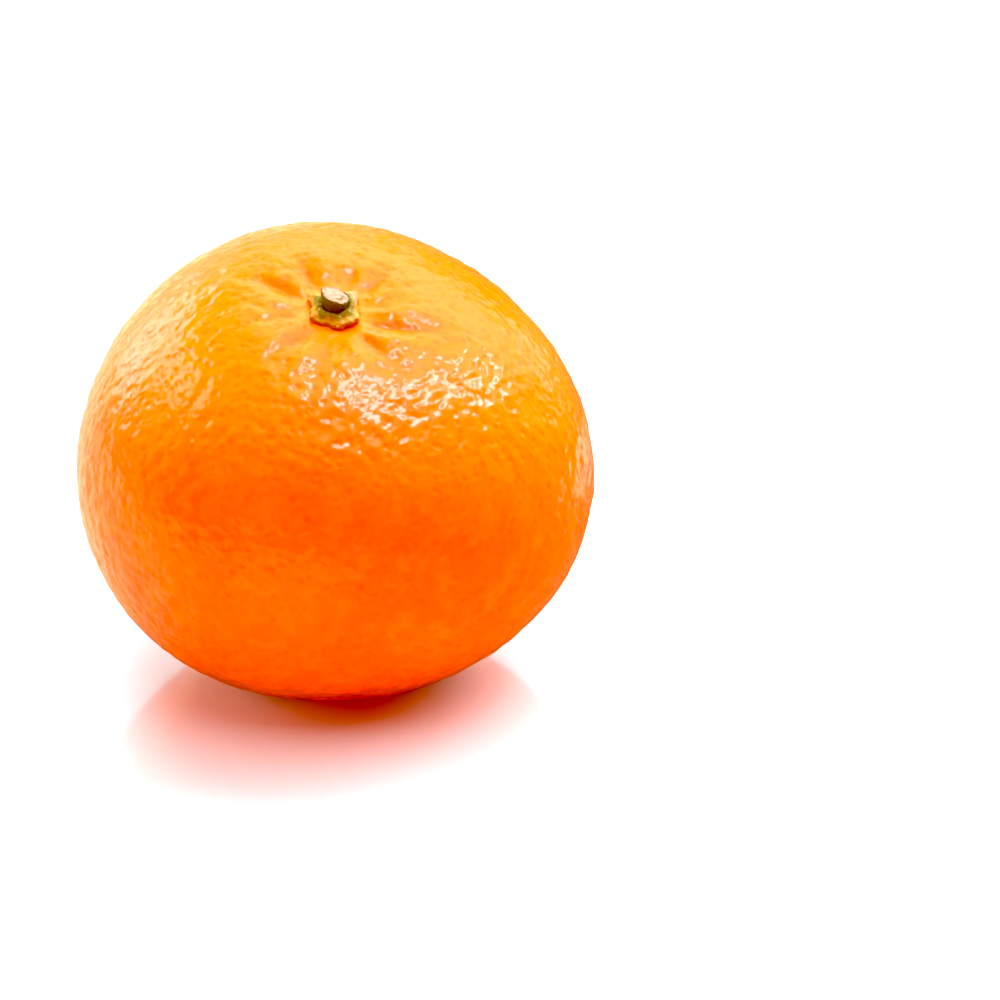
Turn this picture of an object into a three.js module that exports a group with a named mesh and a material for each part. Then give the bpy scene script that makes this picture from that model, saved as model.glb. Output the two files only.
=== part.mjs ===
import * as THREE from "three";

// A whole mandarin with its calyx and a short cut stub of its stem. It lies on a small flat spot,
// with its core leaning so that the stem end looks up and to the front.
// Millimetres, +Z up, front at -Y. The origin is the middle of the flat spot.
//
// Two frames are used. The row frame is the one above. The fruit frame has its origin in the middle
// of the fruit and +Z along the core towards the stem, and the calyx and the stub are modelled in it.
// "out" is a distance from the core's line, and "round" is an angle about it, counted from +X to +Y.

// --- Driving dimensions -------------------------------------------------------------------------

// The rind, before its hollows: two half ellipses with a little extra fullness at the scar end.
const EQUATOR_RADIUS = 32;
const STEM_END_HEIGHT = 26.9;
const SCAR_END_HEIGHT = 26;
const STEM_END_POWER = 2;
const SCAR_END_POWER = 2.05;

// The rind isn't quite round: slight lobes, as parts of the equator's radius, strongest at the equator.
const LOBES = [
  { count: 2, size: 0.01, round: 124 },
  { count: 3, size: 0.019, round: -16 },
];

// The hollow at each end, as its depth and the distance out at which it has mostly gone.
const STEM_HOLLOW = { depth: 2.4, width: 7 };
const SCAR_HOLLOW = { depth: 1.1, width: 5 };

// The dry scar in the other hollow, a low button.
const SCAR = { height: 0.4, width: 1.5 };

// Puckers run out from the calyx: where each lies half-way out, its turn for each millimetre outwards,
// its depth, and the distance out at which it ends.
const PUCKERS = [
  { round: 152, turn: -0.6, depth: 0.8, reach: 14 },
  { round: 120, turn: -0.8, depth: 0.65, reach: 13 },
  { round: 78, turn: 2, depth: 0.4, reach: 9.5 },
  { round: 48, turn: 1.5, depth: 0.55, reach: 12.5 },
  { round: 14, turn: 0.5, depth: 0.25, reach: 9 },
  { round: -20, turn: 1.8, depth: 0.85, reach: 15.5 },
  { round: -52, turn: 0.5, depth: 0.75, reach: 15 },
  { round: -80, turn: 0.2, depth: 0.4, reach: 9.5 },
  { round: -97, turn: -0.4, depth: 0.45, reach: 14 },
  { round: -128, turn: -0.9, depth: 0.6, reach: 13.5 },
  { round: -166, turn: 1, depth: 0.3, reach: 10 },
];
const PUCKER_START = 2.6;
const PUCKER_MIDDLE = 8;
const PUCKER_HALF_WIDTH = 0.8;
const PUCKER_SPREAD = 0.09; // half-width gained for each millimetre out

// The same at the scar end: faint, evenly spread creases.
const CREASES = { count: 9, round: 10, depth: 0.22, start: 1.8, reach: 8.5 };

// How it lies: the lean of the core to the front, its roll to the right, and the middle of the fruit.
const LEAN = 19.3;
const ROLL = 2.4;
const MIDDLE = new THREE.Vector3(-0.75, 3.95, 25.75);

// The flat spot blends into the rind within this height above and below the surface it lies on.
const REST_BLEND = 0.15;

// The calyx: its lobes, the notches between them, and its section over a level seat.
const CALYX_NOTCH_RADIUS = 2.75;
const CALYX_LOBES = [
  { round: 49, reach: 3.95, half: 27 },
  { round: 107, reach: 3.65, half: 27 },
  { round: 150, reach: 3.85, half: 25 },
  { round: 218, reach: 3.55, half: 34 },
  { round: 284, reach: 3.5, half: 34 },
  { round: 323, reach: 3.6, half: 30 },
];
const CALYX_EDGE_THICKNESS = 0.6;
const CALYX_ROOT_THICKNESS = 0.8;
const COLLAR_HEIGHT = 1.2;
const COLLAR_RADIUS = 2.35;
const SOCKET_RADIUS = 2.1;
const SOCKET_FLOOR = 0.6;

// The stub: slightly ribbed, tapered, and cut on a slant that is highest at the front left.
const STUB_BASE_RADIUS = 1.78;
const STUB_TOP_RADIUS = 1.68;
const STUB_HEIGHT = 1.5; // at its middle
const STUB_SLOPE = 0.45;
const STUB_HIGH_SIDE = 207;
const STUB_RIBS = { count: 5, size: 0.035, round: 20 };

// Pieces that grew together are kept this far apart, so that each is a clean solid.
const JOIN_GAP = 0.3;

// Facets.
const RIND_SEGMENTS = 80;
const RIND_RINGS = 46;
const RING_CROWDING = 0.5; // 0 spreads the rings evenly, and 1 crowds them most at the two ends
const CALYX_SEGMENTS = 60;
const STUB_SEGMENTS = 30;
const STUB_RINGS = 2;

// --- Helpers ------------------------------------------------------------------------------------

const radians = THREE.MathUtils.degToRad;
const { smoothstep } = THREE.MathUtils;

// An angle in radians brought into the half turn either side of zero.
function wrapped(angle) {
  return Math.atan2(Math.sin(angle), Math.cos(angle));
}

// A bell curve, 1 at zero and 0.37 at the width.
function bell(distance, width) {
  return Math.exp(-((distance / width) ** 2));
}

// Stands a geometry that three.js makes along +Y up along +Z.
function stoodUp(geometry) {
  return geometry.rotateX(Math.PI / 2);
}

// Moves every vertex of a geometry by a function that changes the point it is given.
function reshaped(geometry, change) {
  const places = geometry.attributes.position;
  const point = new THREE.Vector3();
  for (let i = 0; i < places.count; i += 1) {
    point.fromBufferAttribute(places, i);
    change(point);
    places.setXYZ(i, point.x, point.y, point.z);
  }
  geometry.computeVertexNormals();
  return geometry;
}

// --- The rind's surface, in the fruit frame -------------------------------------------------------

// Distance from the middle of the fruit to the rind before its hollows, along a direction of length 1.
function rindRadius(direction) {
  const out = Math.hypot(direction.x, direction.y);
  const stemEnd = direction.z > 0;
  const height = stemEnd ? STEM_END_HEIGHT : SCAR_END_HEIGHT;
  const power = stemEnd ? STEM_END_POWER : SCAR_END_POWER;
  const sum = (out / EQUATOR_RADIUS) ** power + (Math.abs(direction.z) / height) ** power;
  const round = Math.atan2(direction.y, direction.x);
  let lobing = 0;
  for (const lobe of LOBES) {
    lobing += lobe.size * Math.cos(lobe.count * (round - radians(lobe.round)));
  }
  return sum ** (-1 / power) * (1 + out * out * lobing);
}

function puckerDepth(out, round) {
  let depth = 0;
  for (const pucker of PUCKERS) {
    const line = radians(pucker.round + pucker.turn * (out - PUCKER_MIDDLE));
    const across = out * wrapped(round - line);
    const opened = smoothstep(out, PUCKER_START, PUCKER_START + 2);
    const faded = 1 - smoothstep(out, pucker.reach / 2, pucker.reach);
    const halfWidth = PUCKER_HALF_WIDTH + PUCKER_SPREAD * out;
    depth += pucker.depth * opened * faded * bell(across, halfWidth);
  }
  return depth;
}

function creaseDepth(out, round) {
  const wave = Math.cos(CREASES.count * (round - radians(CREASES.round)));
  const opened = smoothstep(out, CREASES.start, CREASES.start + 2);
  const faded = 1 - smoothstep(out, CREASES.reach / 2, CREASES.reach);
  return CREASES.depth * opened * faded * (0.5 + 0.5 * wave);
}

// How far the rind is pulled in along the core at a place on the stem half, puckers left out.
function stemHollow(out) {
  return STEM_HOLLOW.depth * bell(out, STEM_HOLLOW.width);
}

function scarHollow(out) {
  return SCAR_HOLLOW.depth * bell(out, SCAR_HOLLOW.width) - SCAR.height * bell(out, SCAR.width);
}

// Moves a point of the unit sphere onto the rind.
function ontoRind(point) {
  point.multiplyScalar(rindRadius(point));
  const out = Math.hypot(point.x, point.y);
  const round = Math.atan2(point.y, point.x);
  if (point.z > 0) {
    point.z -= stemHollow(out) + puckerDepth(out, round);
  } else {
    point.z += scarHollow(out) + creaseDepth(out, round);
  }
}

// Height of the rind under the calyx, puckers left out.
function rindUnderCalyx(out) {
  return STEM_END_HEIGHT * Math.sqrt(1 - (out / EQUATOR_RADIUS) ** 2) - stemHollow(out);
}

// --- Placing --------------------------------------------------------------------------------------

const crown = new THREE.Group(); // the fruit frame
crown.rotation.set(radians(LEAN), radians(ROLL), 0);
crown.position.copy(MIDDLE);
crown.updateMatrix();

// Presses a point of the row frame flat where it would lie below the surface the fruit rests on.
function pressed(point) {
  if (point.z < -REST_BLEND) {
    point.z = 0;
  } else if (point.z < REST_BLEND) {
    point.z = (point.z + REST_BLEND) ** 2 / (4 * REST_BLEND);
  }
}

// --- The fruit ------------------------------------------------------------------------------------

// A half circle from the stem end to the scar end, its points crowded towards both.
function halfCircle() {
  const points = [];
  for (let i = 0; i <= RIND_RINGS; i += 1) {
    const turn = (2 * Math.PI * i) / RIND_RINGS;
    const angle = (turn - RING_CROWDING * Math.sin(turn)) / 2;
    points.push(new THREE.Vector2(Math.sin(angle), -Math.cos(angle)));
  }
  points[0].x = 0;
  points[RIND_RINGS].x = 0;
  return points;
}

function fruit() {
  const geometry = stoodUp(new THREE.LatheGeometry(halfCircle(), RIND_SEGMENTS));
  reshaped(geometry, ontoRind);
  geometry.applyMatrix4(crown.matrix);
  reshaped(geometry, pressed);
  const rind = new THREE.MeshStandardMaterial({ color: 0xfb7206, roughness: 0.38, metalness: 0 });
  const mesh = new THREE.Mesh(geometry, rind);
  mesh.name = "fruit";
  return mesh;
}

// --- The calyx ------------------------------------------------------------------------------------

function calyxRadius(round) {
  let radius = CALYX_NOTCH_RADIUS;
  for (const lobe of CALYX_LOBES) {
    const away = Math.abs(wrapped(round - radians(lobe.round))) / radians(lobe.half);
    radius += (lobe.reach - CALYX_NOTCH_RADIUS) * Math.max(0, 1 - away);
  }
  return radius;
}

// The section over a level seat, from the middle of the underside round to the middle of the socket.
// Outside the collar it is drawn as if the calyx were as wide as its notches.
function calyxSection() {
  const edge = CALYX_NOTCH_RADIUS;
  const shoulder = (COLLAR_RADIUS + edge) / 2;
  const section = [
    [0, 0],
    [SOCKET_RADIUS / 2, 0],
    [SOCKET_RADIUS, 0],
    [COLLAR_RADIUS, 0],
    [shoulder, 0],
    [edge, 0],
    [edge, CALYX_EDGE_THICKNESS],
    [shoulder, (CALYX_EDGE_THICKNESS + CALYX_ROOT_THICKNESS) / 2],
    [COLLAR_RADIUS, CALYX_ROOT_THICKNESS],
    [(COLLAR_RADIUS + SOCKET_RADIUS) / 2, COLLAR_HEIGHT],
    [SOCKET_RADIUS, COLLAR_HEIGHT],
    [SOCKET_RADIUS, SOCKET_FLOOR],
    [SOCKET_RADIUS / 2, SOCKET_FLOOR],
    [0, SOCKET_FLOOR],
  ];
  return section.map(([out, height]) => new THREE.Vector2(out, height));
}

// Spreads a point of the calyx out to its lobes and lays it over the hollow.
function laidInHollow(point) {
  const drawn = Math.hypot(point.x, point.y);
  const round = Math.atan2(point.y, point.x);
  if (drawn > COLLAR_RADIUS) {
    const share = (drawn - COLLAR_RADIUS) / (CALYX_NOTCH_RADIUS - COLLAR_RADIUS);
    const spread = (COLLAR_RADIUS + share * (calyxRadius(round) - COLLAR_RADIUS)) / drawn;
    point.x *= spread;
    point.y *= spread;
  }
  const out = Math.hypot(point.x, point.y);
  point.z += rindUnderCalyx(Math.max(out, SOCKET_RADIUS)) + JOIN_GAP;
}

function calyx() {
  const geometry = stoodUp(new THREE.LatheGeometry(calyxSection(), CALYX_SEGMENTS));
  reshaped(geometry, laidInHollow);
  const husk = new THREE.MeshStandardMaterial({ color: 0xb0921e, roughness: 0.75, metalness: 0 });
  const mesh = new THREE.Mesh(geometry, husk);
  mesh.name = "calyx";
  return mesh;
}

// --- The stem stub --------------------------------------------------------------------------------

// Height of the slanting cut over the stub's base.
function cutHeight(x, y) {
  const side = radians(STUB_HIGH_SIDE);
  return STUB_HEIGHT + STUB_SLOPE * (x * Math.cos(side) + y * Math.sin(side));
}

// Ribs a point of a plain stub and brings it down to the slanting cut.
function cutOnSlant(point) {
  const round = Math.atan2(point.y, point.x);
  const ribbing = Math.cos(STUB_RIBS.count * (round - radians(STUB_RIBS.round)));
  point.x *= 1 + STUB_RIBS.size * ribbing;
  point.y *= 1 + STUB_RIBS.size * ribbing;
  point.z *= cutHeight(point.x, point.y) / STUB_HEIGHT;
}

function stem() {
  const geometry = stoodUp(
    new THREE.CylinderGeometry(STUB_TOP_RADIUS, STUB_BASE_RADIUS, STUB_HEIGHT, STUB_SEGMENTS, STUB_RINGS),
  );
  geometry.translate(0, 0, STUB_HEIGHT / 2);
  reshaped(geometry, cutOnSlant);
  const wood = new THREE.MeshStandardMaterial({ color: 0x56400f, roughness: 0.85, metalness: 0 });
  const mesh = new THREE.Mesh(geometry, wood);
  mesh.name = "stem";
  mesh.position.z = rindUnderCalyx(SOCKET_RADIUS) + JOIN_GAP + SOCKET_FLOOR + JOIN_GAP;
  return mesh;
}

// --- The mandarin ---------------------------------------------------------------------------------

const mandarin = new THREE.Group();
crown.add(calyx(), stem());
mandarin.add(fruit(), crown);

export default mandarin;
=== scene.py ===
from math import cos, pi, radians, sin, sqrt

import bpy
import numpy as np
from mathutils import Matrix, Vector

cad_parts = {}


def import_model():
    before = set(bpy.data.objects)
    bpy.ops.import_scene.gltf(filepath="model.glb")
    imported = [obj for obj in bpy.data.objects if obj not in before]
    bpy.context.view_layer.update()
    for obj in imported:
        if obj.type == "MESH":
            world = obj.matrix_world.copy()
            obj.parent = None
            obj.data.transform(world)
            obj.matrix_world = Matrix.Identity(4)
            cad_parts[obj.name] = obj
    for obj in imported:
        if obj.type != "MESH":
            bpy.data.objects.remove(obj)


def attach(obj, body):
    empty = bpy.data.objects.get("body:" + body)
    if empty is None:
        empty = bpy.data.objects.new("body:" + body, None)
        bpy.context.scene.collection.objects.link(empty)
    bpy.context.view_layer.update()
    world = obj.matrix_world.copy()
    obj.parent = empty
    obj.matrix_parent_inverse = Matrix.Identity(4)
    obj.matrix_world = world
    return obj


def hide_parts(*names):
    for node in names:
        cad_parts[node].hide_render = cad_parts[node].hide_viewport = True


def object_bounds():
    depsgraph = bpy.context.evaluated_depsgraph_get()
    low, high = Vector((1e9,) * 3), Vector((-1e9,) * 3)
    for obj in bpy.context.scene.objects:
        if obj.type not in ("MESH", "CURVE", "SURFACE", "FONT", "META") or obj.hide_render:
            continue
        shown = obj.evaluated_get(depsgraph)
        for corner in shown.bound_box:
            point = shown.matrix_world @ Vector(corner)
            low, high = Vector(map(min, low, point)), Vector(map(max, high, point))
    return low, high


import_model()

CAD_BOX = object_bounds()
MM = 0.001

# A whole mandarin with its calyx and a cut stub of stem, on a pale studio floor. Shapes are worked
# out in millimetres in the fruit frame (origin in the middle of the fruit, +Z along the core to the
# stem, "out" the distance from the core's line, "round" the angle about it from +X to +Y, in
# degrees), and then laid in the row frame.

# --- Shape: the values of the part's source -------------------------------------------------------

EQUATOR_RADIUS = 32
STEM_END = {"height": 26.9, "power": 2}
SCAR_END = {"height": 26, "power": 2.05}
LOBES = ((2, 0.01, 124), (3, 0.019, -16))  # count, size, round
STEM_HOLLOW = (2.4, 7)  # depth, width
SCAR_HOLLOW = (1.1, 5)
SCAR_BUTTON = (0.4, 1.5)  # height, width

PUCKERS = (  # round at PUCKER_MIDDLE, turn for each millimetre outwards, depth, reach
    (152, -0.6, 0.8, 14),
    (120, -0.8, 0.65, 13),
    (78, 2, 0.4, 9.5),
    (48, 1.5, 0.55, 12.5),
    (14, 0.5, 0.25, 9),
    (-20, 1.8, 0.85, 15.5),
    (-52, 0.5, 0.75, 15),
    (-80, 0.2, 0.4, 9.5),
    (-97, -0.4, 0.45, 14),
    (-128, -0.9, 0.6, 13.5),
    (-166, 1, 0.3, 10),
)
PUCKER_START = 2.6
PUCKER_MIDDLE = 8
PUCKER_HALF_WIDTH = 0.8
PUCKER_SPREAD = 0.09  # how much the half width grows for each millimetre outwards
CREASES = {"count": 9, "round": 10, "depth": 0.22, "start": 1.8, "opened": 3.8, "reach": 8.5}

LEAN = radians(19.3)
ROLL = radians(2.4)
MIDDLE = np.array((-0.75, 3.95, 25.75))
REST_BLEND = 0.15

CALYX_NOTCH_RADIUS = 2.75
CALYX_LOBES = (  # round, reach, half of its width in degrees
    (49, 3.95, 27),
    (107, 3.65, 27),
    (150, 3.85, 25),
    (218, 3.55, 34),
    (284, 3.5, 34),
    (323, 3.6, 30),
)
SOCKET_RADIUS = 2.1
SOCKET_FLOOR = 0.6
JOIN_GAP = 0.3
STUB_BASE_RADIUS = 1.78
STUB_TOP_RADIUS = 1.68
STUB_HEIGHT = 1.5
STUB_SLOPE = 0.45
STUB_HIGH_SIDE = radians(207)
STUB_RIBS = {"count": 5, "size": 0.035, "round": radians(20)}

# --- Shape: the fine surface of the rind ----------------------------------------------------------

SKIN_CUTS = 127  # squares along each side of the rind's six grids
SKIN_INSET = 0.12
FULL_FLANKS = (  # a slight fullness low on the front: round, rise, height, spread
    (-130, -38, 0.45, 30),
    (-110, -44, 0.25, 15),
    (-68, -44, 0.5, 18),
)
SWELLS = {"height": 0.035, "sizes": (4, 9), "seed": 3}
PEBBLES = {"height": 0.03, "sizes": (1.5, 2.6), "seed": 11}
WRINKLES = {"height": 0.06, "sizes": (0.16, 0.4), "seed": 17}  # sizes in radians round the core
WRINKLES_START = (2.8, 6)
WRINKLES_REACH = 15
WRINKLES_CHANGE = 0.03  # how fast they change outwards, for each millimetre
# A pucker is a hollow with a sharp fold in it and a ridge along both sides: how much of its depth
# each takes, and how wide each is and how far away it is, in half widths of the pucker.
PUCKER_OPENED = 7.1  # how far out it has its whole depth
PUCKER_HOLLOW = 0.5
PUCKER_FOLD = {"share": 0.4, "width": 0.4}
PUCKER_RIDGE = {"share": 0.12, "width": 0.6, "away": 1.6}

# Where the rind's colours change. It turns from deep orange to yellow between two heights, as its
# stem end yellows, and begins lower down away from the front: painted light on the flanks and
# painted shade on the redder front.
YELLOW = {"heights": (14, 26), "spread": 11, "shaded_front": radians(-105), "shaded_front_width": radians(65)}
# The furrows and the creases are painted a deeper orange: painted shade in the folds.
FURROW_SHADE_WIDTH = 0.6  # in half widths of the pucker
FURROW_SHADE_DEPTH = 0.6  # the depth of a pucker that has the furrow's whole painted shade
CREASE_SHADE_DEPTH = 0.3
SCAR_EDGE = (1.0, 1.9)
HOLLOW_EDGE = (3, 6)

# --- Shape: the fine surface of the calyx and the stub --------------------------------------------

CALYX_SEGMENTS = 192
# The calyx's section, from under its middle out to its edge and back up to the stub. On the blade a
# point lies between the collar (0) and the edge (1), and elsewhere this far out, and each has its
# height over the rind.
CALYX_COLLAR = 2.3
CALYX_UNDERSIDE = ((1.2, -0.3), (2.0, -0.25), (2.3, -0.15))
CALYX_BLADE = ((0.35, -0.2), (0.7, -0.15), (0.92, -0.08), (1.0, 0.12), (1.0, 0.42), (0.94, 0.64))
CALYX_BLADE += ((0.82, 0.78), (0.68, 0.9), (0.54, 0.95), (0.4, 1.0), (0.25, 1.07), (0.12, 1.17))
CALYX_INSIDE = ((2.25, 1.29), (2.15, 1.4), (2.02, 1.46), (1.88, 1.44), (1.74, 1.34), (1.5, 1.15))
CALYX_INSIDE += ((0.8, 1.05),)
CALYX_MIDDLES = (-0.3, 1.0)  # the heights of the points that close it below and above
CALYX_UPPER = (0.4, 0.8)  # its upper side begins between these heights
CALYX_BLADE_START = (2.2, 2.6)
CALYX_MIDRIB = {"height": 0.16, "sunk": 0.12, "width": radians(7)}
CALYX_BUMPS = {"height": 0.07, "sizes": (0.7, 1.5), "seed": 5}
CALYX_WARP = {"height": 0.1, "sizes": (2.5, 4), "seed": 8}
CALYX_COLLAR_RIBS = {"height": 0.02, "count": 34}
CALYX_RAGGED = {"height": 0.014, "sizes": (0.5, 1.1), "seed": 9}  # height as a share of the radius
CALYX_RAGGED_START = (2.3, 2.8)
# Painted light: the lobes at this round, where the light falls, are mixed towards straw.
CALYX_LIT_LOBE = {"round": radians(40), "width": radians(38)}

STUB_SEGMENTS = 120
# The stub's rings, up its side in shares of its height and over its cut in shares of its radius.
STUB_SIDE = (-0.5, -0.2, 0.0, 0.12, 0.24, 0.36, 0.48, 0.6, 0.72, 0.82, 0.9, 0.96)
STUB_FACE = (1.0, 0.985, 0.95, 0.9, 0.84, 0.77, 0.7, 0.62, 0.53, 0.44, 0.35, 0.26, 0.17, 0.08)
STUB_MIDDLES = (-0.75, STUB_HEIGHT - 0.1)  # the heights of the points that close it
STUB_FINE_RIBS = ((13, 0.012, 1), (31, 0.008, 0))  # count, size, phase
STUB_WAIST = 0.24  # how much thinner the stub is at its foot
STUB_WAIST_END = (0.2, 0.85)  # shares of the height
STUB_CUT_BUMPS = {"height": 0.05, "sizes": (0.5, 1.2), "seed": 21}
STUB_CUT_DIPS = ((0.07, 0.8, 0.06), (0.1, 0, 0.2), (0.1, 1, 0.03))  # depth, share, width
STUB_BARK_BUMPS = {"height": 0.01, "sizes": (0.4, 0.9), "seed": 22}  # height in shares too
STUB_BARK_STRETCH = (1, 1, 0.3)  # makes the bark's bumps long
# The dark arc in the cut.
STUB_ARC = {"share": 0.5, "width": 0.13, "round": radians(-40), "spread": radians(65)}

# --- Helpers --------------------------------------------------------------------------------------


def smoothstep(value, low, high):
    share = np.clip((value - low) / (high - low), 0, 1)
    return share * share * (3 - 2 * share)


def wrapped(angle):
    return np.arctan2(np.sin(angle), np.cos(angle))


def bell(distance, width):
    return np.exp(-((distance / width) ** 2))


def relief(points, height, sizes, seed, waves=70):
    """A smooth random height about 0, made of bumps of these sizes."""
    chance = np.random.default_rng(seed)
    ways = chance.normal(size=(waves, 3))
    ways /= np.linalg.norm(ways, axis=1, keepdims=True)
    lengths = chance.uniform(*sizes, waves)
    phases = chance.uniform(0, 2 * pi, waves)
    total = np.zeros(len(points))
    for way, length, phase in zip(ways, lengths, phases):
        total += np.cos(points @ way * (2 * pi / length) + phase)
    return height * (total * sqrt(2 / waves))


TURN = np.array(Matrix.Rotation(LEAN, 3, "X") @ Matrix.Rotation(ROLL, 3, "Y"))


def to_row(points):
    """From the fruit frame to the row frame."""
    return points @ TURN.T + MIDDLE


def cylindrical(points):
    return np.hypot(points[:, 0], points[:, 1]), np.arctan2(points[:, 1], points[:, 0])


def turns_of(segments):
    return np.arange(segments) * 2 * pi / segments


def closed_rings(rings, segments):
    """Quads between rings of points, and a fan from a middle point over the first and the last."""
    turns = np.arange(segments)
    after = (turns + 1) % segments
    faces = []
    for ring in range(rings - 1):
        low, high = ring * segments, (ring + 1) * segments
        quads = np.stack((low + turns, low + after, high + after, high + turns), axis=-1)
        faces += quads.tolist()
    first, last = rings * segments, rings * segments + 1
    top = (rings - 1) * segments
    faces += [[first, int(b), int(a)] for a, b in zip(turns, after)]
    faces += [[last, top + int(a), top + int(b)] for a, b in zip(turns, after)]
    return faces


def piece(name, points, faces, material, marks):
    """A smooth mesh from points in millimetres, with a value on each point for each mark."""
    mesh = bpy.data.meshes.new(name)
    mesh.from_pydata((points * MM).tolist(), [], faces)
    for mark, values in marks.items():
        layer = mesh.attributes.new(mark, "FLOAT", "POINT")
        layer.data.foreach_set("value", np.asarray(values, dtype=np.float32))
    mesh.polygons.foreach_set("use_smooth", [True] * len(mesh.polygons))
    mesh.materials.append(material)
    made = bpy.data.objects.new(name, mesh)
    bpy.context.scene.collection.objects.link(made)
    return made


# --- Rind -----------------------------------------------------------------------------------------


def ball_grid(cuts):
    """A unit sphere made of six square grids: its points, and the quads between them."""
    steps = np.tan(np.linspace(-pi / 4, pi / 4, cuts + 1))
    u, v = np.meshgrid(steps, steps, indexing="ij")
    one = np.ones_like(u)
    sides = ((one, u, v), (-one, v, u), (v, one, u), (u, -one, v), (u, v, one), (v, u, -one))
    points = np.concatenate([np.stack(side, axis=-1).reshape(-1, 3) for side in sides])
    at = np.arange(len(points)).reshape(len(sides), cuts + 1, cuts + 1)
    quads = np.stack((at[:, :-1, :-1], at[:, 1:, :-1], at[:, 1:, 1:], at[:, :-1, 1:]), axis=-1)
    rounded = np.round(points, 6) + 0.0  # so that the grids' shared edges match
    _, first, shared = np.unique(rounded, axis=0, return_index=True, return_inverse=True)
    points = points[first]
    points /= np.linalg.norm(points, axis=1, keepdims=True)
    return points, shared.ravel()[quads.reshape(-1, 4)]


def rind_radius(ways):
    out, around = cylindrical(ways)
    stem_end = ways[:, 2] > 0
    height = np.where(stem_end, STEM_END["height"], SCAR_END["height"])
    power = np.where(stem_end, STEM_END["power"], SCAR_END["power"])
    total = (out / EQUATOR_RADIUS) ** power + (np.abs(ways[:, 2]) / height) ** power
    lobing = sum(size * np.cos(count * (around - radians(at))) for count, size, at in LOBES)
    return total ** (-1 / power) * (1 + out * out * lobing)


def fullness(ways):
    total = 0
    for at, rise, height, spread in FULL_FLANKS:
        at, rise = radians(at), radians(rise)
        middle = np.array((cos(at) * cos(rise), sin(at) * cos(rise), sin(rise)))
        total += height * bell(np.arccos(np.clip(ways @ middle, -1, 1)), radians(spread))
    return total


def pucker_depth(out, around):
    """How deep the puckers are, and how strongly they take the furrow's painted shade."""
    depth = np.zeros_like(out)
    furrow_shades = np.zeros_like(out)
    for at, turn, deep, reach in PUCKERS:
        across = out * wrapped(around - np.radians(at + turn * (out - PUCKER_MIDDLE)))
        opened = smoothstep(out, PUCKER_START, PUCKER_OPENED)
        faded = 1 - smoothstep(out, reach / 2, reach)
        strength = deep * opened * faded
        half_width = PUCKER_HALF_WIDTH + PUCKER_SPREAD * out
        fold = bell(across, half_width * PUCKER_FOLD["width"])
        beside = np.abs(across) - PUCKER_RIDGE["away"] * half_width
        ridge = bell(beside, PUCKER_RIDGE["width"] * half_width)
        hollow = PUCKER_HOLLOW * bell(across, half_width)
        depth += strength * (hollow + PUCKER_FOLD["share"] * fold)
        depth -= strength * PUCKER_RIDGE["share"] * ridge
        furrow_shades = np.maximum(furrow_shades, strength * bell(across, half_width * FURROW_SHADE_WIDTH))
    return depth, furrow_shades / FURROW_SHADE_DEPTH


def crease_depth(out, around):
    wave = np.cos(CREASES["count"] * (around - radians(CREASES["round"])))
    opened = smoothstep(out, CREASES["start"], CREASES["opened"])
    faded = 1 - smoothstep(out, CREASES["reach"] / 2, CREASES["reach"])
    return CREASES["depth"] * opened * faded * (0.5 + 0.5 * wave)


def stem_hollow(out):
    depth, width = STEM_HOLLOW
    return depth * bell(out, width)


def scar_hollow(out):
    depth, width = SCAR_HOLLOW
    button, button_width = SCAR_BUTTON
    return depth * bell(out, width) - button * bell(out, button_width)


def wrinkle_depth(out, around):
    """Fine uneven wrinkles that run out from the calyx between the puckers."""
    turning = np.stack((np.cos(around), np.sin(around), WRINKLES_CHANGE * out), axis=-1)
    faded = 1 - smoothstep(out, WRINKLES_REACH / 2, WRINKLES_REACH)
    return smoothstep(out, *WRINKLES_START) * faded * relief(turning, **WRINKLES)


def skin(material):
    ways, quads = ball_grid(SKIN_CUTS)
    smooth = ways * (rind_radius(ways) + fullness(ways))[:, None]
    proud = relief(smooth, **SWELLS) + relief(smooth, **PEBBLES) - SKIN_INSET
    points = smooth + ways * proud[:, None]
    out, around = cylindrical(points)
    stem_side = points[:, 2] > 0
    puckers, furrow_shades = (np.where(stem_side, found, 0) for found in pucker_depth(out, around))
    wrinkles = np.where(stem_side, wrinkle_depth(out, around), 0)
    creases = np.where(stem_side, 0, crease_depth(out, around))
    points[:, 2] -= np.where(stem_side, stem_hollow(out), 0) + puckers + wrinkles
    points[:, 2] += np.where(stem_side, 0, scar_hollow(out)) + creases
    # Painted light and shade: the yellow starts lower on the flanks, and the front stays redder.
    shaded_front = bell(wrapped(around - YELLOW["shaded_front"]), YELLOW["shaded_front_width"])
    yellow_from = points[:, 2] + YELLOW["spread"] * (1 - shaded_front)
    marks = {
        "stem_end": smoothstep(yellow_from, *YELLOW["heights"]),
        "furrow_shade": np.clip(furrow_shades + creases / CREASE_SHADE_DEPTH, 0, 1),
        "scar": np.where(stem_side, 0, 1 - smoothstep(out, *SCAR_EDGE)),
        "hollow": np.where(stem_side, 1 - smoothstep(out, *HOLLOW_EDGE), 0),
    }
    points = to_row(points)
    # The fruit is pressed flat where it rests, with a soft edge.
    z = points[:, 2]
    pressed = np.where(z < -REST_BLEND, 0, (z + REST_BLEND) ** 2 / (4 * REST_BLEND))
    points[:, 2] = np.where(z < REST_BLEND, pressed, z)
    # A few points would pass the CAD's box by up to 0.02 mm.
    points = np.clip(points, *(np.array(corner) / MM for corner in CAD_BOX))
    return piece("fruit_skin", points, quads.tolist(), material, marks)


# --- Calyx and stub -------------------------------------------------------------------------------


def rind_under_calyx(out):
    return STEM_END["height"] * np.sqrt(1 - (out / EQUATOR_RADIUS) ** 2) - stem_hollow(out)


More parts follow.
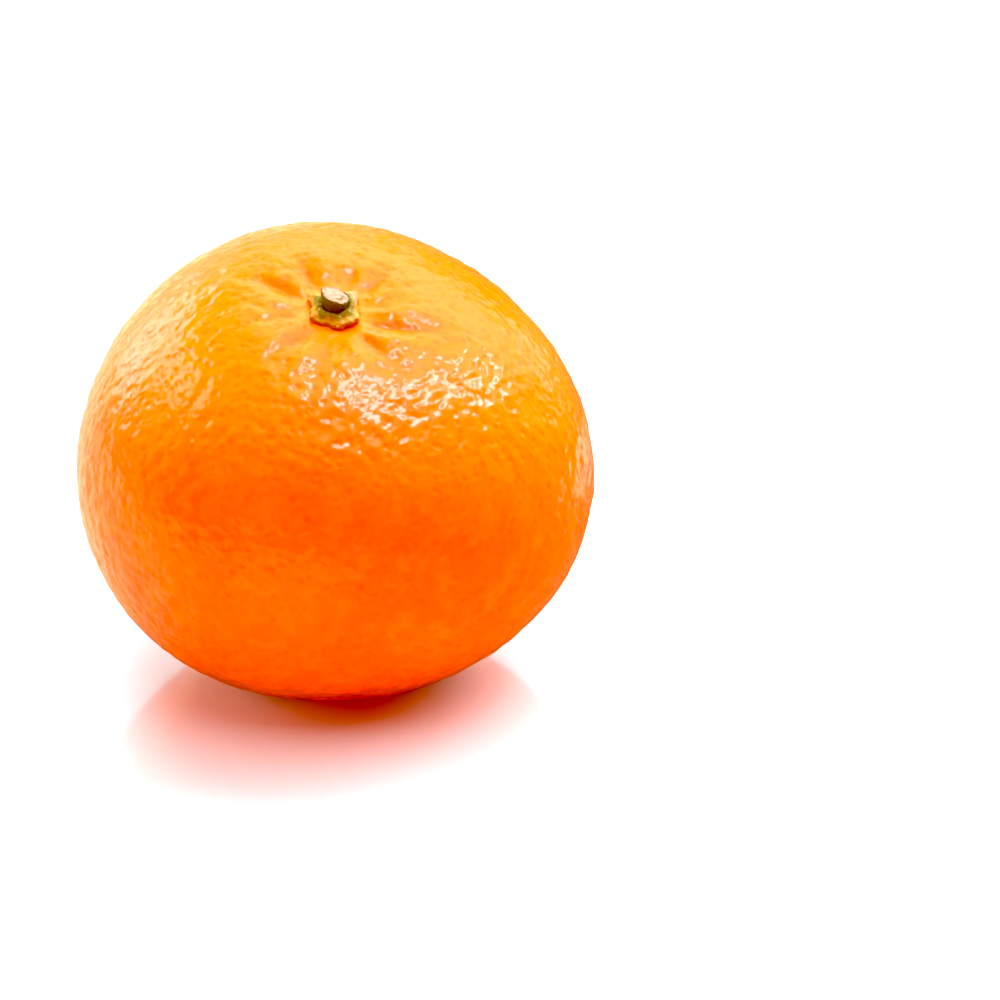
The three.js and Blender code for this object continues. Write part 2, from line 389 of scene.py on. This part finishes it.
def calyx_radius(around):
    radius = np.full_like(around, CALYX_NOTCH_RADIUS)
    for at, reach, half in CALYX_LOBES:
        away = np.abs(wrapped(around - radians(at))) / radians(half)
        radius += (reach - CALYX_NOTCH_RADIUS) * np.maximum(0, 1 - away)
    return radius


def midribs(around):
    width = CALYX_MIDRIB["width"]
    return sum(bell(wrapped(around - radians(at)), width) for at, _, _ in CALYX_LOBES)


def calyx_piece(material):
    around = turns_of(CALYX_SEGMENTS)
    edge = calyx_radius(around)
    section = CALYX_UNDERSIDE + CALYX_BLADE + CALYX_INSIDE
    radii, heights, along = [], [], []
    for out, over_rind in section:
        on_blade = (out, over_rind) in CALYX_BLADE
        radii.append(CALYX_COLLAR + out * (edge - CALYX_COLLAR) if on_blade else 0 * edge + out)
        heights.append(0 * edge + over_rind)
        along.append(0 * edge + (out if on_blade else 0))
    radius, height, along = (np.concatenate(rings) for rings in (radii, heights, along))
    turn = np.tile(around, len(section))
    level = np.stack((radius * np.cos(turn), radius * np.sin(turn), height), axis=-1)
    upper = smoothstep(height, *CALYX_UPPER)
    blade = smoothstep(radius, *CALYX_BLADE_START)
    ribs = CALYX_MIDRIB["height"] * midribs(turn) - CALYX_MIDRIB["sunk"]
    collar_ribs = CALYX_COLLAR_RIBS["height"] * np.cos(CALYX_COLLAR_RIBS["count"] * turn)
    height = height + upper * blade * ribs
    height += upper * (relief(level, **CALYX_BUMPS) + collar_ribs * (1 - blade))
    height += blade * relief(level, **CALYX_WARP)
    radius = radius * (1 + relief(level, **CALYX_RAGGED) * smoothstep(radius, *CALYX_RAGGED_START))
    z = rind_under_calyx(np.maximum(radius, SOCKET_RADIUS)) + height
    points = np.stack((radius * np.cos(turn), radius * np.sin(turn), z), axis=-1)
    middle_z = rind_under_calyx(SOCKET_RADIUS)
    points = np.concatenate((points, [(0, 0, middle_z + more) for more in CALYX_MIDDLES]))
    # Painted light on the lobes that face the light.
    lit_lobe = bell(wrapped(turn - CALYX_LIT_LOBE["round"]), CALYX_LIT_LOBE["width"]) * blade
    marks = {
        "blade": np.append(along, (0, 0)),
        "upper": np.append(upper, (0, 1)),
        "lit_lobe": np.append(lit_lobe, (0, 0)),
    }
    faces = closed_rings(len(section), CALYX_SEGMENTS)
    return piece("calyx_star", to_row(points), faces, material, marks)


def stub_piece(material):
    around = turns_of(STUB_SEGMENTS)
    ribbing = 1 + STUB_RIBS["size"] * np.cos(STUB_RIBS["count"] * (around - STUB_RIBS["round"]))
    ribbing += sum(size * np.cos(count * around + phase) for count, size, phase in STUB_FINE_RIBS)
    rings = []  # radius, share of the height, 1 on the cut face, share of the face's radius
    for up in STUB_SIDE:
        radius = STUB_BASE_RADIUS + up * (STUB_TOP_RADIUS - STUB_BASE_RADIUS)
        waist = STUB_WAIST * (1 - smoothstep(up, *STUB_WAIST_END))
        rings.append(((radius - waist) * ribbing, up, 0.0, 1.0))
    for inward in STUB_FACE:
        rings.append((STUB_TOP_RADIUS * ribbing * inward, 1.0, 1.0, inward))
    points = []
    for radius, up, _, _ in rings:
        x, y = radius * np.cos(around), radius * np.sin(around)
        slope = STUB_SLOPE * (x * cos(STUB_HIGH_SIDE) + y * sin(STUB_HIGH_SIDE))
        points.append(np.stack((x, y, (STUB_HEIGHT + slope) * up), axis=-1))
    points = np.concatenate(points)
    cut = np.repeat([ring[2] for ring in rings], STUB_SEGMENTS)
    share = np.repeat([ring[3] for ring in rings], STUB_SEGMENTS)
    dips = sum(depth * bell(share - at, width) for depth, at, width in STUB_CUT_DIPS)
    points[:, 2] += cut * (relief(points, **STUB_CUT_BUMPS) - dips)
    bark = (1 - cut) * relief(points * STUB_BARK_STRETCH, **STUB_BARK_BUMPS)
    points[:, :2] *= 1 + bark[:, None]
    points = np.concatenate((points, [(0, 0, z) for z in STUB_MIDDLES]))
    points[:, 2] += rind_under_calyx(SOCKET_RADIUS) + JOIN_GAP + SOCKET_FLOOR + JOIN_GAP
    turn = np.tile(around, len(rings))
    arc = cut * bell(share - STUB_ARC["share"], STUB_ARC["width"])
    arc *= bell(wrapped(turn - STUB_ARC["round"]), STUB_ARC["spread"])
    marks = {
        "cut": np.append(cut, (0, 1)),
        "share": np.append(share, (1, 0)),
        "arc": np.append(arc, (0, 0)),
    }
    faces = closed_rings(len(rings), STUB_SEGMENTS)
    return piece("stem_stub", to_row(points), faces, material, marks)


# --- Materials ------------------------------------------------------------------------------------


class Nodes:
    """A new material's nodes, with short ways to add the common ones."""

    def __init__(self, name):
        self.material = bpy.data.materials.new(name)
        self.material.use_nodes = True
        self.tree = self.material.node_tree
        self.shader = self.tree.nodes["Principled BSDF"]
        self.place = self.add("ShaderNodeTexCoord").outputs["Object"]

    def add(self, kind, **settings):
        node = self.tree.nodes.new(kind)
        for name, value in settings.items():
            setattr(node, name, value)
        return node

    def feed(self, socket, value):
        if isinstance(value, bpy.types.NodeSocket):
            self.tree.links.new(value, socket)
        else:
            socket.default_value = value

    def mark(self, name):
        return self.add("ShaderNodeAttribute", attribute_name=name).outputs["Fac"]

    def math(self, operation, *values):
        node = self.add("ShaderNodeMath", operation=operation)
        for socket, value in zip(node.inputs, values):
            self.feed(socket, value)
        return node.outputs[0]

    def times(self, value, share):
        return self.math("MULTIPLY", value, share)

    def from_origin(self, place=(0, 0, 0)):
        """Distance from this place, in metres."""
        node = self.add("ShaderNodeVectorMath", operation="DISTANCE")
        self.feed(node.inputs[0], self.place)
        node.inputs[1].default_value = place
        return node.outputs["Value"]

    def ramp(self, value, low, high, to_low=0.0, to_high=1.0):
        """The value taken smoothly from low..high to to_low..to_high."""
        node = self.add("ShaderNodeMapRange", interpolation_type="SMOOTHSTEP")
        for socket, given in zip(node.inputs, (value, low, high, to_low, to_high)):
            self.feed(socket, given)
        return node.outputs[0]

    def mix(self, share, first, second):
        node = self.add("ShaderNodeMix", data_type="RGBA")
        self.feed(node.inputs[0], share)
        self.feed(node.inputs[6], first)
        self.feed(node.inputs[7], second)
        return node.outputs[2]

    def mix_shaders(self, share, first, second):
        node = self.add("ShaderNodeMixShader")
        for socket, given in zip(node.inputs, (share, first, second)):
            self.feed(socket, given)
        return node.outputs[0]

    def noise(self, size, detail=2.0):
        """Soft random patches of about this size in millimetres, as a value about 0.5."""
        node = self.add("ShaderNodeTexNoise")
        self.feed(node.inputs["Vector"], self.place)
        node.inputs["Scale"].default_value = 1 / (size * MM)
        node.inputs["Detail"].default_value = detail
        return node.outputs["Fac"]

    def dots(self, size, middle, edge):
        """Scattered dots in cells of this size in millimetres: 1 to middle, and 0 from edge on."""
        node = self.add("ShaderNodeTexVoronoi")
        self.feed(node.inputs["Vector"], self.place)
        node.inputs["Scale"].default_value = 1 / (size * MM)
        return self.ramp(node.outputs["Distance"], middle, edge, 1, 0)

    def bump(self, height, depth):
        """Relief of this depth in millimetres for a height of 1."""
        node = self.add("ShaderNodeBump")
        node.inputs["Strength"].default_value = 1
        node.inputs["Distance"].default_value = depth * MM
        self.feed(node.inputs["Height"], height)
        return node.outputs["Normal"]

    def shade(self, **inputs):
        """Feed these values or outputs to the main shader; returns the material."""
        for name, value in inputs.items():
            self.feed(self.shader.inputs[name.replace("_", " ")], value)
        return self.material


def colour(red, green, blue):
    return (red, green, blue, 1)


FLANK = colour(0.95, 0.105, 0.002)
FLANK_DEEP = colour(0.93, 0.068, 0.001)
FLANK_LIGHT = colour(0.96, 0.155, 0.003)
STEM_SIDE = colour(0.96, 0.165, 0.003)
# Painted shade in the puckers' furrows and the scar end's creases.
FURROW_SHADE = colour(0.93, 0.12, 0.001)
GLAND = colour(0.9, 0.05, 0.001)
SCAR_BROWN = colour(0.16, 0.09, 0.03)
GREENISH = colour(0.62, 0.3, 0.01)
# Painted light: a lighter gold round the calyx that lifts the shade under its edge.
HOLLOW_PAINTED_LIGHT = colour(0.92, 0.24, 0.02)

# How strongly each shows in the rind's colour, from 0 to 1.
BLOTCHES_SHOW = 0.6
MOTTLING_SHOWS = 0.42
FURROW_SHADE_SHOWS = 0.8
GLANDS_SHOW = 0.25
PITS_SHOW = (0.6, 0.15)  # on the scar's side, on the stem's side
HOLLOW_LIGHT_SHOWS = 0.6
GREEN_SHOWS = 0.35

RIND_RELIEF = 0.22  # millimetres of bump
GLOSS_RELIEF = 0.19
GLAND_DEPTH = 0.3  # a share of the relief
RIND_ROUGHNESS = (0.34, 0.44)
GLAND_ROUGHER = 0.1
SCAR_ROUGHER = 0.35


def rind_material():
    n = Nodes("rind")
    stem_end, hollow, scar = n.mark("stem_end"), n.mark("hollow"), n.mark("scar")
    glands = n.dots(1.15, 0.0, 0.6)
    pits = n.dots(3.2, 0.05, 0.22)
    grain = n.noise(1.7, 1)
    blotches = n.ramp(n.noise(11), 0.35, 0.65)
    mottling = n.ramp(n.noise(3), 0.45, 0.7)
    flecks = n.ramp(n.noise(1.3), 0.45, 0.7, 0, GREEN_SHOWS)
    tint = n.mix(n.times(blotches, BLOTCHES_SHOW), FLANK, FLANK_DEEP)
    tint = n.mix(n.times(mottling, MOTTLING_SHOWS), tint, FLANK_LIGHT)
    tint = n.mix(stem_end, tint, STEM_SIDE)
    # Painted shade in the furrows and creases.
    tint = n.mix(n.times(n.mark("furrow_shade"), FURROW_SHADE_SHOWS), tint, FURROW_SHADE)
    pits = n.times(pits, n.ramp(stem_end, 0, 1, *PITS_SHOW))
    tint = n.mix(n.math("MAXIMUM", n.times(glands, GLANDS_SHOW), pits), tint, GLAND)
    # Painted light in the hollow round the calyx.
    tint = n.mix(n.times(hollow, HOLLOW_LIGHT_SHOWS), tint, HOLLOW_PAINTED_LIGHT)
    tint = n.mix(n.times(hollow, flecks), tint, GREENISH)
    tint = n.mix(scar, tint, SCAR_BROWN)
    height = n.math("SUBTRACT", grain, n.times(glands, GLAND_DEPTH))
    roughness = n.ramp(grain, 0.3, 0.7, *RIND_ROUGHNESS)
    roughness = n.math("ADD", n.times(glands, GLAND_ROUGHER), roughness)
    roughness = n.math("ADD", roughness, n.times(scar, SCAR_ROUGHER))
    return n.shade(
        Base_Color=tint,
        Roughness=roughness,
        Normal=n.bump(height, RIND_RELIEF),
        Subsurface_Weight=0.35,
        Subsurface_Scale=0.008,
        IOR=1.42,
        Coat_Weight=0.9,
        Coat_Roughness=0.1,
        Coat_IOR=1.45,
        Coat_Normal=n.bump(height, GLOSS_RELIEF),
    )


HUSK_OLIVE = colour(0.17, 0.145, 0.02)
HUSK_GOLD = colour(0.44, 0.225, 0.015)
# Painted light on the lit lobes.
HUSK_LIT_STRAW = colour(0.5, 0.215, 0.08)
# Partly the calyx's dry brown edge and partly painted shade on its edge and underside.
HUSK_BROWN_AND_SHADE = colour(0.33, 0.085, 0.02)
HUSK_CREAM = colour(0.85, 0.62, 0.28)
HUSK_BLOTCHES = 0.6  # how far they shift the change from olive to gold
HUSK_GOLD_RANGE = (0.3, 1.0)  # along the blade
HUSK_RIM_AND_SHADE = (0.7, 0.95)
HUSK_RIM_SHADE_SHOWS = (1, 0.8)  # on the underside, on the upper side
LIT_LOBE_SHOWS = 0.9
SPECKS_SHOW = 0.35
SPECK_HEIGHT = 0.3
HUSK_RELIEF = 0.12
HUSK_ROUGHNESS = (0.7, 0.55)


def calyx_material():
    n = Nodes("calyx")
    blade = n.mark("blade")
    blotches = n.ramp(n.noise(1.1, 3), 0.35, 0.65)
    specks = n.dots(0.75, 0.12, 0.34)
    outwards = n.math("ADD", blade, n.times(blotches, HUSK_BLOTCHES))
    # The brown edge: partly its own colour, partly painted shade.
    rim_and_shade = n.times(n.ramp(blade, *HUSK_RIM_AND_SHADE), n.ramp(n.mark("upper"), 0.2, 1, *HUSK_RIM_SHADE_SHOWS))
    tint = n.mix(n.ramp(outwards, *HUSK_GOLD_RANGE), HUSK_OLIVE, HUSK_GOLD)
    tint = n.mix(rim_and_shade, tint, HUSK_BROWN_AND_SHADE)
    tint = n.mix(n.times(n.mark("lit_lobe"), LIT_LOBE_SHOWS), tint, HUSK_LIT_STRAW)
    tint = n.mix(n.times(specks, SPECKS_SHOW), tint, HUSK_CREAM)
    height = n.math("ADD", n.noise(0.35, 3), n.times(specks, SPECK_HEIGHT))
    return n.shade(
        Base_Color=tint,
        Roughness=n.ramp(blotches, 0, 1, *HUSK_ROUGHNESS),
        Normal=n.bump(height, HUSK_RELIEF),
        Subsurface_Weight=0.05,
        Subsurface_Scale=0.0005,
    )


BARK = colour(0.032, 0.058, 0.048)
BARK_OLIVE = colour(0.15, 0.16, 0.05)
WOOD_PALE = colour(0.43, 0.26, 0.17)
WOOD_OLIVE = colour(0.13, 0.09, 0.015)
STREAKS_SHOW = 0.5
GRAIN_SHOWS = 0.3
ARC_SHOWS = 0.9
RIM_SHOWS = 0.8
WOOD_RIM = (0.86, 0.95)  # shares of the cut face's radius
STUB_RELIEF = 0.08
STUB_ROUGHNESS = (0.8, 0.65)


def stem_material():
    n = Nodes("stem")
    streaks = n.ramp(n.noise(0.5, 3), 0.4, 0.7)
    bark = n.mix(n.times(streaks, STREAKS_SHOW), BARK, BARK_OLIVE)
    face = n.mix(n.times(n.noise(0.6), GRAIN_SHOWS), WOOD_PALE, WOOD_OLIVE)
    face = n.mix(n.ramp(n.mark("arc"), 0.2, 0.7, 0, ARC_SHOWS), face, WOOD_OLIVE)
    face = n.mix(n.times(n.ramp(n.mark("share"), *WOOD_RIM), RIM_SHOWS), face, WOOD_OLIVE)
    return n.shade(
        Base_Color=n.mix(n.ramp(n.mark("cut"), 0.4, 0.6), bark, face),
        Roughness=n.ramp(streaks, 0, 1, *STUB_ROUGHNESS),
        Normal=n.bump(n.noise(0.3, 3), STUB_RELIEF),
    )


FLOOR_SEEN = colour(0.73, 0.77, 0.8)
FLOOR_BOUNCE = colour(0.9, 0.9, 0.9)
FLOOR_LIGHT_IN_GLOSS = (colour(0.34, 0.31, 0.2), colour(0.08, 0.07, 0.04))  # painted light with a warm painted bounce, at the left, at the right
FLOOR_LIGHT_IN_GLOSS_TURNS = (-0.05, 0.05)  # between these, in metres to the right
PAINTED_POOL_IN_GLOSS = colour(0.48, 0.39, 0.28)
PAINTED_POOL_PLACE = (0.1, 0.07, 0)  # a painted pool of light behind the fruit to its right
PAINTED_POOL_EDGE = (0.015, 0.055)
FAR_FLOOR = (0.16, 0.36)  # metres from the origin, where it turns plain pale


def floor_material():
    """A glossy white floor, plain pale far away, that the fruit's gloss mirrors as a matte one with
    painted light on it.
    """
    n = Nodes("studio_floor")
    ray = n.add("ShaderNodeLightPath").outputs
    n.shade(
        Base_Color=n.mix(ray["Is Camera Ray"], FLOOR_BOUNCE, FLOOR_SEEN),
        Roughness=0.1,
        IOR=2.6,
        Coat_Weight=1.0,
        Coat_Roughness=0.1,
        Coat_IOR=1.9,
    )
    across = n.add("ShaderNodeSeparateXYZ")
    n.feed(across.inputs[0], n.place)
    # Painted light and warm painted bounce: the floor seen in the gloss is lighter at the left.
    painted_light_tone = n.mix(n.ramp(across.outputs[0], *FLOOR_LIGHT_IN_GLOSS_TURNS), *FLOOR_LIGHT_IN_GLOSS)
    # A painted pool of light behind the fruit to its right, seen only in the gloss.
    beside = n.ramp(n.from_origin(PAINTED_POOL_PLACE), *PAINTED_POOL_EDGE, 1, 0)
    matte = n.add("ShaderNodeBsdfDiffuse")
    n.feed(matte.inputs["Color"], n.mix(beside, painted_light_tone, PAINTED_POOL_IN_GLOSS))
    near = n.mix_shaders(ray["Is Glossy Ray"], n.shader.outputs[0], matte.outputs[0])
    far = n.times(n.ramp(n.from_origin(), *FAR_FLOOR), ray["Is Camera Ray"])
    whole = n.mix_shaders(far, near, n.add("ShaderNodeEmission").outputs[0])
    n.feed(n.tree.nodes["Material Output"].inputs["Surface"], whole)
    return n.material


# --- Studio ---------------------------------------------------------------------------------------

FLOOR_HALF = 6.0
FLOOR_HEIGHT = -0.02 * MM
LIGHTS_LOOK_AT = Vector((0, 0, 0.03))
PINKISH = (1, 0.88, 1)
WARM = (1, 0.25, 0.07)
WHITE = (1, 1, 1)
# Softboxes: name, place and size in metres, radiance, turn in degrees, level, tint. A level one
# looks straight down, and the others look at the fruit. The first three make the main highlight.
HIGHLIGHTS = (  # seen only in the gloss
    ("main_highlight", (0.48, -0.15, 0.95), (0.85, 0.12), 17.0, 36, True, PINKISH),
    ("highlight_right", (1.0, 0.28, 0.95), (0.5, 0.13), 19.0, 88, True, PINKISH),
    ("highlight_left", (0.1, -0.08, 0.95), (0.35, 0.1), 13.0, 100, True, PINKISH),
    ("ceiling_highlight", (0.5, 1.45, 0.95), (1.6, 1.6), 0.85, 0, True, WHITE),
    ("left_highlight", (-1.22, 0.31, 1.06), (0.98, 0.3), 3.2, 15, False, WHITE),
    ("left_window", (-1.09, 1.05, 0.53), (0.8, 0.72), 2.3, 25, False, WHITE),
    ("right_window", (1.0, 1.2, 0.3), (0.6, 0.4), 1.3, 0, False, WHITE),
)
FILLS = (  # never seen in the gloss
    ("back_fill", (0.2, 0.85, 1.0), (1.8, 1.4), 6.6, 0, False, WHITE),
    ("top_fill", (0.1, 0.0, 1.1), (1.4, 1.2), 4.7, 0, False, WHITE),
    ("left_fill", (-0.9, 0.1, 0.25), (0.6, 0.5), 8.2, 0, False, WHITE),
    ("left_back_fill", (-0.8, 0.5, 0.45), (0.6, 0.5), 2.0, 0, False, WHITE),
    ("right_back_fill", (0.8, 0.45, 0.45), (0.6, 0.5), 10.5, 0, False, WHITE),
    ("front_bounce", (0.1, -0.8, 0.1), (1.2, 0.15), 11.0, 0, False, WARM),
)

PALE_WAY = (-0.42, 0.907, 0.0)  # where the surroundings are palest: behind the fruit at the left
PALE_RANGE = (0.75, 1.0)  # cosines of the angle from that way
SURROUNDINGS = (0.02, 0.7)  # how bright they are outside that range and at its middle

CAMERA_RISE = radians(25.6)
CAMERA_DISTANCE = 0.45
PICTURE = 1000  # pixels along the photograph's side
FOCAL = 3640.0  # pixels
FRUIT_IN_PICTURE = (333.0, 460.3)  # where the fruit's middle lies, in pixels
SENSOR = 36  # millimetres

BLACK_LEVEL = (-0.05, 0.03, 0.07)  # follows the photograph's warm darks


def link(made):
    bpy.context.scene.collection.objects.link(made)
    return made


def floor():
    half, z = FLOOR_HALF, FLOOR_HEIGHT
    corners = [(-half, -half, z), (half, -half, z), (half, half, z), (-half, half, z)]
    mesh = bpy.data.meshes.new("studio_floor")
    mesh.from_pydata(corners, [], [(0, 1, 2, 3)])
    mesh.materials.append(floor_material())
    link(bpy.data.objects.new("studio_floor", mesh))


def softbox(name, place, size, radiance, turn, level, tint):
    light = bpy.data.lights.new(name, "AREA")
    light.shape = "RECTANGLE"
    light.size, light.size_y = size
    light.energy = pi * size[0] * size[1] * radiance
    light.color = tint
    made = link(bpy.data.objects.new(name, light))
    towards = Vector((0, 0, -1)) if level else LIGHTS_LOOK_AT - Vector(place)
    facing = towards.to_track_quat("-Z", "Y").to_matrix().to_4x4()
    turned = facing @ Matrix.Rotation(radians(turn), 4, "Z")
    made.matrix_world = Matrix.Translation(place) @ turned
    made.visible_camera = False
    return made


def world():
    """Pale behind the fruit at the left and dark elsewhere; plain pale where the camera sees it."""
    made = bpy.data.worlds.new("studio")
    made.use_nodes = True
    tree = made.node_tree
    way = tree.nodes.new("ShaderNodeTexCoord").outputs["Generated"]
    behind = tree.nodes.new("ShaderNodeVectorMath")
    behind.operation = "DOT_PRODUCT"
    behind.inputs[1].default_value = PALE_WAY
    tree.links.new(way, behind.inputs[0])
    shade = tree.nodes.new("ShaderNodeMapRange")
    tree.links.new(behind.outputs["Value"], shade.inputs[0])
    for socket, value in zip(list(shade.inputs)[1:5], PALE_RANGE + SURROUNDINGS):
        socket.default_value = value
    ray = tree.nodes.new("ShaderNodeLightPath")
    strength = tree.nodes.new("ShaderNodeMix")
    tree.links.new(ray.outputs["Is Camera Ray"], strength.inputs[0])
    tree.links.new(shade.outputs[0], strength.inputs[2])
    strength.inputs[3].default_value = 1.0
    background = tree.nodes["Background"]
    background.inputs["Color"].default_value = colour(*WHITE)
    tree.links.new(strength.outputs[0], background.inputs["Strength"])
    bpy.context.scene.world = made


def camera():
    way = Vector((0, cos(CAMERA_RISE), -sin(CAMERA_RISE)))
    right = Vector((1, 0, 0))
    up = right.cross(way)
    across, down = ((at - PICTURE / 2) / FOCAL * CAMERA_DISTANCE for at in FRUIT_IN_PICTURE)
    place = Vector(MIDDLE * MM) - way * CAMERA_DISTANCE - right * across + up * down
    data = bpy.data.cameras.new("view")
    data.sensor_width = SENSOR
    data.lens = SENSOR * FOCAL / PICTURE
    data.clip_start = 0.01
    made = link(bpy.data.objects.new("view", data))
    facing = Matrix((right, up, -way)).transposed().to_4x4()
    made.matrix_world = Matrix.Translation(place) @ facing
    bpy.context.scene.camera = made


camera()
floor()
world()
for settings in HIGHLIGHTS:
    softbox(*settings).visible_diffuse = False
for settings in FILLS:
    softbox(*settings).visible_glossy = False
view = bpy.context.scene.view_settings
view.view_transform = "Standard"
view.use_curve_mapping = True
view.curve_mapping.black_level = BLACK_LEVEL
view.curve_mapping.update()

for made, node, slot in (
    (skin(rind_material()), "fruit", "rind"),
    (calyx_piece(calyx_material()), "calyx", "calyx"),
    (stub_piece(stem_material()), "stem", "stem"),
):
    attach(made, "root")
    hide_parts(node)
